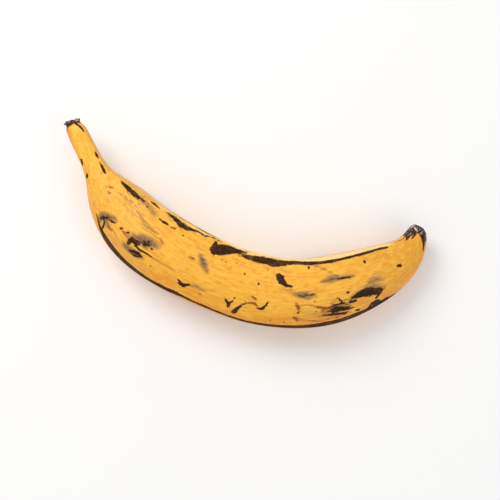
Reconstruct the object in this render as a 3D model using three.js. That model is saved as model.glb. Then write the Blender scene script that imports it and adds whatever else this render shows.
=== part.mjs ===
// A ripe plantain, picked with its stem, lying on one of its flat sides.
//
// Units are millimetres and +Z is up. The fruit rests on z = 0 and bends in the
// horizontal plane: the cut stem is at -X, the blossom tip at +X, and the hollow
// side of the bend faces +Y. The origin is on the surface that it rests on, under
// the middle of the box round it. The stem, the peel and the dry tip grew as one
// piece, so they are one closed body.
import * as THREE from 'three';

// Driving dimensions, in millimetres and degrees

// Where the centre line starts, at the cut end of the stem
const STEM_END = { x: -126.38, y: 47.2 };

// The fruit along its centre line, from the cut stem to the blossom tip:
//   at        length along the centre line
//   heading   direction of the centre line in plan, from +X towards +Y
//   half      half width
//   height    height of the centre line
//   angular   how far the section is from a circle, 0, to the full faces, 1
//   twist     turn of the faces round the centre line, towards the hollow side
//   crease    how far the low ridge on the front of the shoulder stands, 0 to 1
const COLUMNS = ['at', 'heading', 'half', 'height', 'angular', 'twist', 'crease'];
const STATIONS = [
  [0, -47, 4.9, 25.5, 0.3, -4, 0],
  [3, -47, 5.0, 25.4, 0.3, -4, 0],
  [4.8, -47, 6.0, 25.3, 0.3, -4, 0],
  [7, -47, 6.5, 25.2, 0.35, -4, 0],
  [20, -46, 7.1, 24.8, 0.4, -4, 0],
  [34, -46.5, 7.9, 24.0, 0.5, -4, 0],
  [42, -45, 9.8, 23.3, 0.65, -4, 0],
  [50, -42, 13.4, 22.6, 0.8, -4, 0.15],
  [62, -36.9, 18.2, 21.9, 0.9, -3, 0.6],
  [78, -32, 22.2, 20.9, 1, -1, 1],
  [95, -22.5, 24.0, 22.6, 1, 1, 0.9],
  [120, -13.5, 24.2, 23.8, 1, 6, 0.3],
  [150, -6, 23.5, 23.6, 1, 8, 0],
  [180, 5.5, 24.0, 22.4, 1, 5, 0],
  [210, 18.8, 23.7, 23.1, 1, -1, 0],
  [235, 33, 22.5, 22.3, 1, -5, 0],
  [258, 40.5, 19.7, 19.1, 1, -6, 0],
  [272, 47, 17.1, 16.8, 0.95, -6, 0],
  [284, 57, 13.9, 16.5, 0.85, -6, 0],
  [294, 72, 10.4, 16.8, 0.7, -6, 0],
  [300, 83, 8.3, 17.1, 0.6, -6, 0],
  [305, 93, 6.5, 17.3, 0.5, -6, 0],
  [308, 98, 5.0, 17.4, 0.4, -6, 0],
  [309.6, 100, 3.2, 17.5, 0.3, -6, 0],
];

// The faces of the peel. An angle round the fruit is 0 at the top and 90 on the
// hollow side. The reach is how far out the face lies, as a share of the half width.
const FACES = [
  { facing: 5, reach: 0.965 },
  { facing: -52, reach: 0.965 },
  { facing: -108, reach: 0.985 },
  { facing: 177, reach: 0.95 },
  { facing: 85, reach: 0.985 },
];
const FACE_SHARPNESS = 7;

// The face between the first two, which wears their ridge away but on the shoulder
const FRONT = { facing: -24, reach: 0.975, creasedReach: 1.09 };
const FRONT_RIDGE = 1;

// How far a ridge stands out of the round edge between two faces
const RIDGE_RISE = 0.4;

// Faces of the mesh: columns from one ridge to the next, and rings along the fruit
const COLUMNS_PER_FACE = 8;
const RING_PITCH = { stem: 3.2, body: 4.2, tip: 1.9 };
const NECK_AT = 62;
const TIP_AT = 284;

// The shrunken collar at the cut: its length, the slant of the cut, the waves of
// its ragged rim, and the two torn points of its skin
const COLLAR_LENGTH = 3;
const CUT_SLANT = 10;
const RIM_WAVES = [
  { count: 3, depth: 0.27, turn: 241 },
  { count: 7, depth: 0.18, turn: 132 },
  { count: 11, depth: 0.14, turn: 0 },
];
const RIM_POINTS = [
  { round: -95, out: 1.1, width: 14 },
  { round: 78, out: 0.7, width: 12 },
];

// The face of the cut, from its rim to its middle: share of the rim, depth below it
const CUT_FACE = [
  { share: 0.8, sunk: 0.7 },
  { share: 0.45, sunk: 1.3 },
];
const CUT_MIDDLE_SUNK = 1.0;

// The dry blossom end: its slant, where its puckers begin, their waves round it,
// and its hollow
const TIP_SLANT = 18;
const PUCKERS_AT = 292;
const PUCKERS = { count: 7, depth: 0.55, turn: 46 };
const TIP_HOLLOW = [
  { share: 0.62, sunk: 0.5 },
  { share: 0.34, sunk: 1.1 },
];
const TIP_MIDDLE_SUNK = 0.4;

// The length of one step when the centre line is followed
const SPINE_STEP = 0.1;

const LENGTH = STATIONS.at(-1)[0];
const UP = new THREE.Vector3(0, 0, 1);
const radians = THREE.MathUtils.degToRad;
const clamp = THREE.MathUtils.clamp;

// A smooth curve through one column of the stations, read at a length

function slopes(ats, values) {
  const steps = values.slice(1).map((value, i) => (value - values[i]) / (ats[i + 1] - ats[i]));
  const inner = steps.slice(1).map((step, i) => {
    const before = ats[i + 1] - ats[i];
    const after = ats[i + 2] - ats[i + 1];
    return (steps[i] * after + step * before) / (before + after);
  });
  return [steps[0], ...inner, steps.at(-1)];
}

function curveThrough(name) {
  const column = COLUMNS.indexOf(name);
  const ats = STATIONS.map((station) => station[0]);
  const values = STATIONS.map((station) => station[column]);
  const tangents = slopes(ats, values);
  return (at) => {
    const length = clamp(at, 0, LENGTH);
    const next = clamp(ats.findIndex((value) => value > length), 1, ats.length - 1);
    const last = length >= LENGTH ? ats.length - 1 : next;
    const span = ats[last] - ats[last - 1];
    const t = (length - ats[last - 1]) / span;
    return (2 * t ** 3 - 3 * t ** 2 + 1) * values[last - 1]
      + (t ** 3 - 2 * t ** 2 + t) * span * tangents[last - 1]
      + (3 * t ** 2 - 2 * t ** 3) * values[last]
      + (t ** 3 - t ** 2) * span * tangents[last];
  };
}

const curves = Object.fromEntries(COLUMNS.map((name) => [name, curveThrough(name)]));

// The centre line, followed in small steps along its heading

function followSpine() {
  const spots = [new THREE.Vector2(STEM_END.x, STEM_END.y)];
  const steps = Math.round(LENGTH / SPINE_STEP);
  for (let step = 0; step < steps; step += 1) {
    const heading = radians(curves.heading((step + 0.5) * SPINE_STEP));
    const ahead = new THREE.Vector2(Math.cos(heading), Math.sin(heading));
    spots.push(spots[step].clone().addScaledVector(ahead, SPINE_STEP));
  }
  return spots;
}

const spine = followSpine();

// The centre line's place at a length, and the directions ahead, up and to the hollow side

function frameAt(at) {
  const step = clamp(Math.round(at / SPINE_STEP), 0, spine.length - 1);
  const heading = radians(curves.heading(at));
  const climb = (curves.height(at + SPINE_STEP) - curves.height(at - SPINE_STEP)) / (2 * SPINE_STEP);
  const ahead = new THREE.Vector3(Math.cos(heading), Math.sin(heading), climb).normalize();
  const hollow = UP.clone().cross(ahead).normalize();
  return {
    centre: new THREE.Vector3(spine[step].x, spine[step].y, curves.height(at)),
    ahead,
    hollow,
    up: ahead.clone().cross(hollow),
  };
}

// The section of the fruit: rounded faces, as a share of the half width

function facePull(angle, facing, reach) {
  return Math.max(0, Math.cos(radians(angle - facing)) / reach) ** FACE_SHARPNESS;
}

function sectionReach(angle, at) {
  const turned = angle - curves.twist(at);
  const frontReach = THREE.MathUtils.lerp(FRONT.reach, FRONT.creasedReach, curves.crease(at));
  const pull = FACES.reduce((sum, face) => sum + facePull(turned, face.facing, face.reach), 0)
    + facePull(turned, FRONT.facing, frontReach);
  return 1 + curves.angular(at) * (pull ** (-1 / FACE_SHARPNESS) - 1);
}

// The angle of the ridge where two neighbouring faces meet

function ridgeBetween(first, second) {
  const one = radians(first.facing);
  const other = radians(second.facing);
  const across = second.reach * Math.cos(one) - first.reach * Math.cos(other);
  const along = first.reach * Math.sin(other) - second.reach * Math.sin(one);
  const angle = THREE.MathUtils.radToDeg(Math.atan2(across, along));
  const middle = second.facing + THREE.MathUtils.euclideanModulo(first.facing - second.facing, 360) / 2;
  return angle + 180 * Math.round((middle - angle) / 180);
}

const RIDGES = FACES.map((face, i) => {
  const before = FACES[(i + FACES.length - 1) % FACES.length];
  return THREE.MathUtils.euclideanModulo(ridgeBetween(before, face), 360);
});

// The columns of the mesh: each ridge has one, with even steps between the ridges

function columnAngles() {
  return RIDGES.flatMap((ridge, i) => {
    const span = THREE.MathUtils.euclideanModulo(ridge - RIDGES[(i + 1) % RIDGES.length], 360);
    return Array.from({ length: COLUMNS_PER_FACE }, (_, step) => ({
      angle: ridge - span * step / COLUMNS_PER_FACE,
      ridge: step === 0 ? i : null,
    }));
  });
}

const columns = columnAngles();

// How far a column's ridge stands out at a length

function ridgeRise(column, at) {
  if (column.ridge === null) return 0;
  const kept = column.ridge === FRONT_RIDGE ? curves.crease(at) : 1;
  return RIDGE_RISE * curves.angular(at) * kept;
}

// What the two ends add to the plain skin

function gapBetween(first, second) {
  return Math.abs(THREE.MathUtils.euclideanModulo(first - second + 180, 360) - 180);
}

function rimPoint(angle) {
  return RIM_POINTS.reduce((sum, point) => {
    return sum + point.out * Math.exp(-((gapBetween(angle, point.round) / point.width) ** 2));
  }, 0);
}

function rimWander(angle) {
  return RIM_WAVES.reduce((sum, wave) => {
    return sum + wave.depth * Math.sin(radians(wave.count * angle + wave.turn));
  }, 0);
}

function puckerDepth(angle, at) {
  const onset = THREE.MathUtils.smoothstep(at, PUCKERS_AT, LENGTH);
  const wave = Math.cos(radians(PUCKERS.count * angle + PUCKERS.turn));
  return PUCKERS.depth * onset * (1 + wave) / 2;
}

// A point of the skin at a length and an angle round the fruit

function skinPoint(at, column) {
  const frame = frameAt(at);
  const angle = column.angle + curves.twist(at);
  const rim = 1 - THREE.MathUtils.smoothstep(at, 0, COLLAR_LENGTH);
  const shoulder = 1 - THREE.MathUtils.smoothstep(at, COLLAR_LENGTH, 4 * COLLAR_LENGTH);
  const radius = curves.half(at) * sectionReach(angle, at) + ridgeRise(column, at)
    + rim * rimPoint(angle) - puckerDepth(angle, at);
  const across = Math.sin(radians(angle)) * radius;
  const tip = THREE.MathUtils.smoothstep(at, PUCKERS_AT, LENGTH);
  const slant = Math.tan(radians(CUT_SLANT)) * shoulder + Math.tan(radians(TIP_SLANT)) * tip;
  return frame.centre
    .addScaledVector(frame.up, Math.cos(radians(angle)) * radius)
    .addScaledVector(frame.hollow, across)
    .addScaledVector(frame.ahead, slant * across - rim * rimWander(angle));
}

// The rings of the skin, close together where the fruit narrows

function evenSteps(from, to, pitch) {
  const count = Math.ceil((to - from) / pitch);
  return Array.from({ length: count }, (_, i) => from + (to - from) * i / count);
}

const ringPlaces = [
  ...evenSteps(0, COLLAR_LENGTH, COLLAR_LENGTH / 2),
  ...evenSteps(COLLAR_LENGTH, 3 * COLLAR_LENGTH, COLLAR_LENGTH / 2),
  ...evenSteps(3 * COLLAR_LENGTH, NECK_AT, RING_PITCH.stem),
  ...evenSteps(NECK_AT, TIP_AT, RING_PITCH.body),
  ...evenSteps(TIP_AT, LENGTH, RING_PITCH.tip),
  LENGTH,
];

// An end is closed by rings that follow its rim inwards, then one middle point

function endRings(rim, depths, inward) {
  const middle = rim.reduce((sum, point) => sum.add(point), new THREE.Vector3()).divideScalar(rim.length);
  return depths.map(({ share, sunk }) => rim.map((point) => {
    return middle.clone().lerp(point, share).addScaledVector(inward, sunk);
  }));
}

function endMiddle(rim, sunk, inward) {
  const middle = rim.reduce((sum, point) => sum.add(point), new THREE.Vector3()).divideScalar(rim.length);
  return middle.addScaledVector(inward, sunk);
}

// The triangles between two rings, and between a ring and a middle point

function bandFaces(ring, count) {
  return columns.flatMap((_, i) => {
    const here = ring * count + i;
    const beside = ring * count + (i + 1) % count;
    return [here, beside, beside + count, here, beside + count, here + count];
  });
}

function fanFaces(ring, middle, count, outward) {
  return columns.flatMap((_, i) => {
    const here = ring * count + i;
    const beside = ring * count + (i + 1) % count;
    return outward ? [middle, here, beside] : [middle, beside, here];
  });
}

// The whole closed skin. What would lie below the surface is pressed flat against it.

function plantainGeometry() {
  const skin = ringPlaces.map((at) => columns.map((column) => skinPoint(at, column)));
  const stemInward = frameAt(0).ahead;
  const tipInward = frameAt(LENGTH).ahead.negate();
  const rings = [
    ...endRings(skin[0], CUT_FACE, stemInward).reverse(),
    ...skin,
    ...endRings(skin.at(-1), TIP_HOLLOW, tipInward),
  ];
  const points = [
    ...rings.flat(),
    endMiddle(skin[0], CUT_MIDDLE_SUNK, stemInward),
    endMiddle(skin.at(-1), TIP_MIDDLE_SUNK, tipInward),
  ];
  const count = columns.length;
  const stemMiddle = rings.length * count;
  const faces = [
    ...fanFaces(0, stemMiddle, count, false),
    ...rings.slice(1).flatMap((_, ring) => bandFaces(ring, count)),
    ...fanFaces(rings.length - 1, stemMiddle + 1, count, true),
  ];
  const geometry = new THREE.BufferGeometry();
  const places = points.flatMap((point) => [point.x, point.y, Math.max(point.z, 0)]);
  geometry.setAttribute('position', new THREE.Float32BufferAttribute(places, 3));
  geometry.setIndex(faces);
  geometry.computeVertexNormals();
  return geometry;
}

const peel = new THREE.MeshStandardMaterial({ color: 0xf2b73f, roughness: 0.5, metalness: 0 });
const plantain = new THREE.Mesh(plantainGeometry(), peel);
plantain.name = 'plantain';

const model = new THREE.Group();
model.add(plantain);

export default model;
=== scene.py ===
# A ripe plantain lying on its side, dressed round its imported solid.
#
# Lengths in the tables are millimetres and angles are degrees; MM turns a length
# into Blender's metres. A place on the fruit is given by two numbers. The first is
# along, the length on the centre line from the cut stem. The second is around, the
# angle round the centre line: 0 at the top, 90 on the hollow side of the bend, -90
# on the outer side and 180 underneath.
import math

import bpy
import numpy as np
from mathutils import Matrix, Vector


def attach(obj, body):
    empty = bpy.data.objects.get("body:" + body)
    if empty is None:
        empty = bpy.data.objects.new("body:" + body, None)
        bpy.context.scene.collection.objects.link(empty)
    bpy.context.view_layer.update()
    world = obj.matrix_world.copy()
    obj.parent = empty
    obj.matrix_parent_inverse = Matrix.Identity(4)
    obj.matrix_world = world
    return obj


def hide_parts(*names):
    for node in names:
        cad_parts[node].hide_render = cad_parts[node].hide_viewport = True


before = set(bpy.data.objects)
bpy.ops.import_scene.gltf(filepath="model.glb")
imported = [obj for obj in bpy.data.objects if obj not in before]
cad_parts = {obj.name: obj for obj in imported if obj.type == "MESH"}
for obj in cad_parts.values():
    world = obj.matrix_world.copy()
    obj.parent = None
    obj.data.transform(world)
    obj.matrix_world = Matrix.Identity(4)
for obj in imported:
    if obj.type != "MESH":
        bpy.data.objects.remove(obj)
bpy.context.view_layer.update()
scene = bpy.context.scene

MM = 0.001
SEED = 7

# The fruit's driving dimensions, the same as the solid's

STEM_END = (-126.38, 47.2)
COLUMNS = ("at", "heading", "half", "height", "angular", "twist", "crease")
STATIONS = (
    (0, -47, 4.9, 25.5, 0.3, -4, 0),
    (3, -47, 5.0, 25.4, 0.3, -4, 0),
    (4.8, -47, 6.0, 25.3, 0.3, -4, 0),
    (7, -47, 6.5, 25.2, 0.35, -4, 0),
    (20, -46, 7.1, 24.8, 0.4, -4, 0),
    (34, -46.5, 7.9, 24.0, 0.5, -4, 0),
    (42, -45, 9.8, 23.3, 0.65, -4, 0),
    (50, -42, 13.4, 22.6, 0.8, -4, 0.15),
    (62, -36.9, 18.2, 21.9, 0.9, -3, 0.6),
    (78, -32, 22.2, 20.9, 1, -1, 1),
    (95, -22.5, 24.0, 22.6, 1, 1, 0.9),
    (120, -13.5, 24.2, 23.8, 1, 6, 0.3),
    (150, -6, 23.5, 23.6, 1, 8, 0),
    (180, 5.5, 24.0, 22.4, 1, 5, 0),
    (210, 18.8, 23.7, 23.1, 1, -1, 0),
    (235, 33, 22.5, 22.3, 1, -5, 0),
    (258, 40.5, 19.7, 19.1, 1, -6, 0),
    (272, 47, 17.1, 16.8, 0.95, -6, 0),
    (284, 57, 13.9, 16.5, 0.85, -6, 0),
    (294, 72, 10.4, 16.8, 0.7, -6, 0),
    (300, 83, 8.3, 17.1, 0.6, -6, 0),
    (305, 93, 6.5, 17.3, 0.5, -6, 0),
    (308, 98, 5.0, 17.4, 0.4, -6, 0),
    (309.6, 100, 3.2, 17.5, 0.3, -6, 0),
)
FACES = ((5, 0.965), (-52, 0.965), (-108, 0.985), (177, 0.95), (85, 0.985))
FACE_SHARPNESS = 7
FRONT_FACING = -24
FRONT_REACH = 0.975
FRONT_CREASED_REACH = 1.09
FRONT_RIDGE = 1
RIDGE_RISE = 0.4
RIDGE_WIDTH = 3.5
COLLAR_LENGTH = 3
CUT_SLANT = 10
RIM_WAVES = ((3, 0.27, 241), (7, 0.18, 132), (11, 0.14, 0))
RIM_POINTS = ((-95, 1.1, 14), (78, 0.7, 12))
CUT_FACE = ((1, 0), (0.8, 0.7), (0.45, 1.3), (0, 1.0))
TIP_SLANT = 18
PUCKERS_AT = 292
PUCKER_COUNT = 7
PUCKER_DEPTH = 0.55
PUCKER_TURN = 46
TIP_HOLLOW = ((1, 0), (0.62, 0.5), (0.34, 1.1), (0, 0.4))
LENGTH = STATIONS[-1][0]

# The skin's mesh: steps round it, the pitch of its rings at some lengths, the rings
# that close an end, the step that follows the centre line and the seam's gap. Its UV
# map runs on past both ends by the margin.

SKIN_COLUMNS = 240
RING_PITCH = ((0, 0.35), (12, 0.5), (20, 0.95), (278, 0.95), (290, 0.5), (310, 0.4))
END_RINGS = 12
SPINE_STEP = 0.1
SEAM_GAP = 0.002
MARGIN = 8

# The skin waves all over and shrivels where it is dry. Both patterns are read round a
# straight rod that the seed shifts sideways. The rod's places are first multiplied by
# the squeeze, so a pattern comes out longer where the squeeze is less.

WAVE_DEPTH = 0.5
WAVE_SIZE = 16.0
WAVE_SQUEEZE = (1.0, 1.0, 0.4)
SHRIVEL_DEPTH = 1.1
SHRIVEL_SIZE = 4.0
SHRIVEL_SQUEEZE = (1.6, 1.6, 0.5)
SHRIVELLED_TIP = (PUCKERS_AT + 3, PUCKERS_AT + 12)
RAGGEDNESS = 1
ROD_RADIUS = 22
SEED_SHIFT = 40


# Node trees written as Python sums

def pick(sockets, key):
    """A node's socket by its number, identifier or name."""
    if isinstance(key, int):
        return sockets[key]
    return next(s for s in sockets if s.enabled and key in (s.identifier, s.name))


def is_vector(value):
    return isinstance(value, tuple) or isinstance(value, Value) and value.socket.type == "VECTOR"


def both_ways(operation):
    """An operator between a value and another, and its reflected form."""
    return (lambda value, other: value.combined(operation, value, other),
            lambda value, other: value.combined(operation, other, value))


class Value:
    """One output of a node, which can be used in sums."""

    def __init__(self, tree, socket):
        self.tree = tree
        self.socket = socket

    def combined(self, operation, *values):
        """A Math node, or a Vector Math node where one of the values is a vector."""
        kind = "ShaderNodeVectorMath" if any(map(is_vector, values)) else "ShaderNodeMath"
        numbers = [value for value in values if not is_vector(value)]
        if kind == "ShaderNodeVectorMath" and operation == "MULTIPLY" and numbers:
            vector = next(value for value in values if is_vector(value))
            return self.tree.node(kind, {"operation": "SCALE"}, {"Vector": vector, "Scale": numbers[0]})
        return self.tree.node(kind, {"operation": operation}, dict(enumerate(values)))

    __add__, __radd__ = both_ways("ADD")
    __sub__, __rsub__ = both_ways("SUBTRACT")
    __mul__, __rmul__ = both_ways("MULTIPLY")
    __truediv__, __rtruediv__ = both_ways("DIVIDE")
    __pow__, __rpow__ = both_ways("POWER")

    def __neg__(self):
        return self * -1.0

    def at_least(self, other):
        return self.combined("MAXIMUM", self, other)

    def one(self, operation):
        """A sum of one value, such as SINE, COSINE, FLOOR, EXPONENT or ABSOLUTE."""
        return self.combined(operation, self)

    def rise(self, low, high):
        """0 below low, 1 above high and a smooth rise between them."""
        return self.tree.node("ShaderNodeMapRange", {"interpolation_type": "SMOOTHSTEP"},
                              {"Value": self, "From Min": low, "From Max": high})

    def part(self, axis):
        """One part of a vector, by its axis."""
        return self.tree.node("ShaderNodeSeparateXYZ", {}, {0: self}, axis)


class Tree:
    """A node tree that grows by one call a node."""

    def __init__(self, tree):
        self.tree = tree

    def node(self, kind, settings=None, values=None, out=0):
        """Adds a node and gives one of its outputs, if it has any."""
        node = self.tree.nodes.new(kind)
        for name, setting in (settings or {}).items():
            setattr(node, name, setting)
        for key, value in (values or {}).items():
            socket = pick(node.inputs, key)
            if isinstance(value, Value):
                self.tree.links.new(value.socket, socket)
            else:
                socket.default_value = value
        return Value(self, pick(node.outputs, out)) if node.outputs else None

    def vector(self, x, y, z):
        return self.node("ShaderNodeCombineXYZ", {}, {"X": x, "Y": y, "Z": z})

    def mix(self, factor, first, second):
        """A colour between two others."""
        return self.node("ShaderNodeMix", {"data_type": "RGBA"},
                         {"Factor_Float": factor, "A_Color": first, "B_Color": second}, "Result_Color")

    def noise(self, place, size, detail=2.0, rough=0.5):
        """Noise from about -0.3 to 0.3 with features of a size in the place's own units."""
        values = {"Vector": place, "Scale": 1.0 / size, "Detail": detail, "Roughness": rough}
        return self.node("ShaderNodeTexNoise", {"noise_dimensions": "3D"}, values) - 0.5


# The centre line and what the skin needs to know at each of its rings

def smooth(name, at):
    """One column of the stations as a smooth curve, read at lengths."""
    x = np.array([station[0] for station in STATIONS], float)
    y = np.array([station[COLUMNS.index(name)] for station in STATIONS], float)
    gap = np.diff(x)
    step = np.diff(y) / gap
    inner = (step[:-1] * gap[1:] + step[1:] * gap[:-1]) / (gap[:-1] + gap[1:])
    slope = np.concatenate((step[:1], inner, step[-1:]))
    at = np.clip(at, x[0], x[-1])
    i = np.clip(np.searchsorted(x, at, side="right") - 1, 0, len(gap) - 1)
    t = (at - x[i]) / gap[i]
    return ((2 * t**3 - 3 * t**2 + 1) * y[i] + (t**3 - 2 * t**2 + t) * gap[i] * slope[i]
            + (3 * t**2 - 2 * t**3) * y[i + 1] + (t**3 - t**2) * gap[i] * slope[i + 1])


def half_at(along):
    """The fruit's half width at one length."""
    return float(smooth("half", np.array([along]))[0])


def smoothstep(value, low, high):
    t = np.clip((value - low) / (high - low), 0, 1)
    return t * t * (3 - 2 * t)


def spine_points(at):
    """The centre line's places in plan, followed in small steps along its heading."""
    steps = np.arange(round(LENGTH / SPINE_STEP)) * SPINE_STEP
    heading = np.radians(smooth("heading", steps + SPINE_STEP / 2))
    x = STEM_END[0] + np.concatenate(([0], np.cumsum(np.cos(heading)))) * SPINE_STEP
    y = STEM_END[1] + np.concatenate(([0], np.cumsum(np.sin(heading)))) * SPINE_STEP
    known = np.append(steps, LENGTH)
    return np.interp(at, known, x), np.interp(at, known, y)


def ring_lengths():
    """Lengths of the skin's rings, close together where the form is fine."""
    places, pitches = zip(*RING_PITCH)
    at = [0.0]
    while at[-1] < LENGTH:
        at.append(at[-1] + float(np.interp(at[-1], places, pitches)))
    return np.array(at) * LENGTH / at[-1]


def end_profile(rows):
    """Shares and depths of the rings that close an end, from its rim to its middle."""
    share = np.linspace(1, 0, END_RINGS + 1)[1:]
    known = np.array(rows[::-1], float)
    return share, np.interp(share, known[:, 0], known[:, 1])


def spine_table():
    """What each ring of the skin is made from, from the cut face to the tip's hollow."""
    skin = ring_lengths()
    cut_share, cut_sunk = end_profile(CUT_FACE)
    tip_share, tip_sunk = end_profile(TIP_HOLLOW)
    at = np.concatenate((0 * cut_share, skin, LENGTH + 0 * tip_share))
    share = np.concatenate((cut_share[::-1], np.ones(len(skin)), tip_share))
    sunk = np.concatenate((cut_sunk[::-1], 0 * skin, -tip_sunk))
    x, y = spine_points(at)
    heading = np.radians(smooth("heading", at))
    climb = (smooth("height", at + SPINE_STEP) - smooth("height", at - SPINE_STEP)) / (2 * SPINE_STEP)
    ahead = np.stack((np.cos(heading), np.sin(heading), climb), 1)
    ahead /= np.linalg.norm(ahead, axis=1)[:, None]
    hollow = np.stack((-np.sin(heading), np.cos(heading), 0 * heading), 1)
    shoulder = 1 - smoothstep(at, COLLAR_LENGTH, 4 * COLLAR_LENGTH)
    tip = smoothstep(at, PUCKERS_AT, LENGTH)
    return {
        "position": np.stack((x, y, smooth("height", at)), 1) * MM,
        "ahead": ahead,
        "hollow": hollow,
        "above": np.cross(ahead, hollow),
        "along": at,
        "half": smooth("half", at) * MM,
        "angular": smooth("angular", at),
        "twist": np.radians(smooth("twist", at)),
        "crease": smooth("crease", at),
        "share": share,
        "sunk": sunk * MM,
        "rim": 1 - smoothstep(at, 0, COLLAR_LENGTH),
        "tip": tip,
        "slant": math.tan(math.radians(CUT_SLANT)) * shoulder + math.tan(math.radians(TIP_SLANT)) * tip,
    }


def add_attribute(mesh, name, values):
    kind, field = ("FLOAT_VECTOR", "vector") if values.ndim == 2 else ("FLOAT", "value")
    attribute = mesh.attributes.new(name, kind, "POINT")
    attribute.data.foreach_set(field, values.astype(np.float32).ravel())


def spine_object(table):
    """The centre line as a mesh whose points carry the rings' values."""
    mesh = bpy.data.meshes.new("spine")
    places = table.pop("position")
    mesh.from_pydata(places.tolist(), [(i, i + 1) for i in range(len(places) - 1)], [])
    for name, values in table.items():
        add_attribute(mesh, name, values)
    spine = bpy.data.objects.new("spine", mesh)
    scene.collection.objects.link(spine)
    return spine


# The skin, grown round the centre line by a Geometry Nodes tree

def ridge_angles():
    """Where neighbouring faces meet, in degrees round an untwisted section."""
    angles = []
    for (first, first_reach), (second, second_reach) in zip(FACES[-1:] + FACES[:-1], FACES):
        a, b = math.radians(first), math.radians(second)
        angle = math.degrees(math.atan2(second_reach * math.cos(a) - first_reach * math.cos(b),
                                        first_reach * math.sin(b) - second_reach * math.sin(a)))
        middle = second + (first - second) % 360 / 2
        angles.append(angle + 180 * round((middle - angle) / 180))
    return angles


def hump(angle, centre, width):
    """A smooth hump of height 1 at an angle, the same all the way round."""
    centre, width = math.radians(centre), math.radians(width)
    return (((angle - centre).one("COSINE") - 1.0) * (2.0 / width**2)).one("EXPONENT")


def face_pull(angle, facing, reach):
    return (((angle - math.radians(facing)).one("COSINE") / reach).at_least(0.0)) ** FACE_SHARPNESS


def section_reach(angle, angular, crease):
    """How far the skin lies from the centre line, as a share of the half width."""
    front = crease * (FRONT_CREASED_REACH - FRONT_REACH) + FRONT_REACH
    pull = face_pull(angle, FRONT_FACING, front)
    for facing, reach in FACES:
        pull = pull + face_pull(angle, facing, reach)
    return (pull ** (-1 / FACE_SHARPNESS) - 1.0) * angular + 1.0


def rim_wander(angle):
    """How the cut edge wanders to and fro round the stem."""
    waves = ((angle * count + math.radians(turn)).one("SINE") * depth for count, depth, turn in RIM_WAVES)
    return sum(waves, 0.0)


class SkinTree(Tree):
    """The tree's inputs and the spine's values at each ring."""

    def __init__(self, group, inputs):
        super().__init__(group)
        group.interface.new_socket("Spine", in_out="INPUT", socket_type="NodeSocketGeometry")
        group.interface.new_socket("Skin", in_out="OUTPUT", socket_type="NodeSocketGeometry")
        group.interface.new_socket("Peel", in_out="INPUT", socket_type="NodeSocketMaterial")
        for name, value in inputs.items():
            kind = "NodeSocketInt" if isinstance(value, int) else "NodeSocketFloat"
            group.interface.new_socket(name, in_out="INPUT", socket_type=kind).default_value = value
        self.inputs = group.nodes.new("NodeGroupInput")

    def input(self, name):
        return Value(self, self.inputs.outputs[name])

    def at_ring(self, value, ring, kind="FLOAT"):
        """The spine's value at a ring."""
        return self.node("GeometryNodeSampleIndex", {"data_type": kind},
                         {"Geometry": self.input("Spine"), "Value": value, "Index": ring}, "Value")

    def named(self, name, ring, kind="FLOAT"):
        """One of the spine's attributes at a ring."""
        value = self.node("GeometryNodeInputNamedAttribute", {"data_type": kind},
                          {"Name": name}, "Attribute")
        return self.at_ring(value, ring, kind)


def skin_place(tree, ring, angle, of):
    """Where each vertex of the skin lies, pressed flat where it would sink into the ground."""
    faces_angle = angle - of["twist"]
    rod = tree.vector(angle.one("COSINE") * ROD_RADIUS + tree.input("Seed") * SEED_SHIFT,
                      angle.one("SINE") * ROD_RADIUS, of["along"])
    reach = section_reach(faces_angle, of["angular"], of["crease"])
    humps = [hump(faces_angle, ridge, RIDGE_WIDTH) for ridge in ridge_angles()]
    humps[FRONT_RIDGE] = humps[FRONT_RIDGE] * of["crease"]
    ridges = sum(humps, 0.0)
    points = sum((hump(angle, around, width) * (out * MM) for around, out, width in RIM_POINTS), 0.0)
    pucker_wave = (angle * tree.input("Puckers") + math.radians(PUCKER_TURN)).one("COSINE")
    puckers = (pucker_wave * 0.5 + 0.5) * tree.input("Pucker depth")
    waves = tree.noise(rod * WAVE_SQUEEZE, WAVE_SIZE)
    creases = tree.noise(rod * SHRIVEL_SQUEEZE, SHRIVEL_SIZE, 3.0, 0.6)
    dry = of["rim"].at_least(of["along"].rise(*SHRIVELLED_TIP))
    radius = (of["half"] * reach + ridges * tree.input("Ridge rise") * of["angular"]
              + of["rim"] * points - of["tip"] * puckers
              + waves * tree.input("Unevenness") * of["angular"]
              + creases * tree.input("Shrivel") * dry) * of["share"]
    across = angle.one("SINE") * radius
    ragged = of["rim"] * of["share"] * tree.input("Raggedness") * rim_wander(angle)
    onward = of["slant"] * across - ragged + of["sunk"]
    centre = tree.at_ring(tree.node("GeometryNodeInputPosition"), ring, "FLOAT_VECTOR")
    ahead, hollow, above = (tree.named(name, ring, "FLOAT_VECTOR") for name in ("ahead", "hollow", "above"))
    place = centre + above * (angle.one("COSINE") * radius) + hollow * across + ahead * onward
    return tree.vector(place.part("X"), place.part("Y"), place.part("Z").at_least(0.0))


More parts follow.
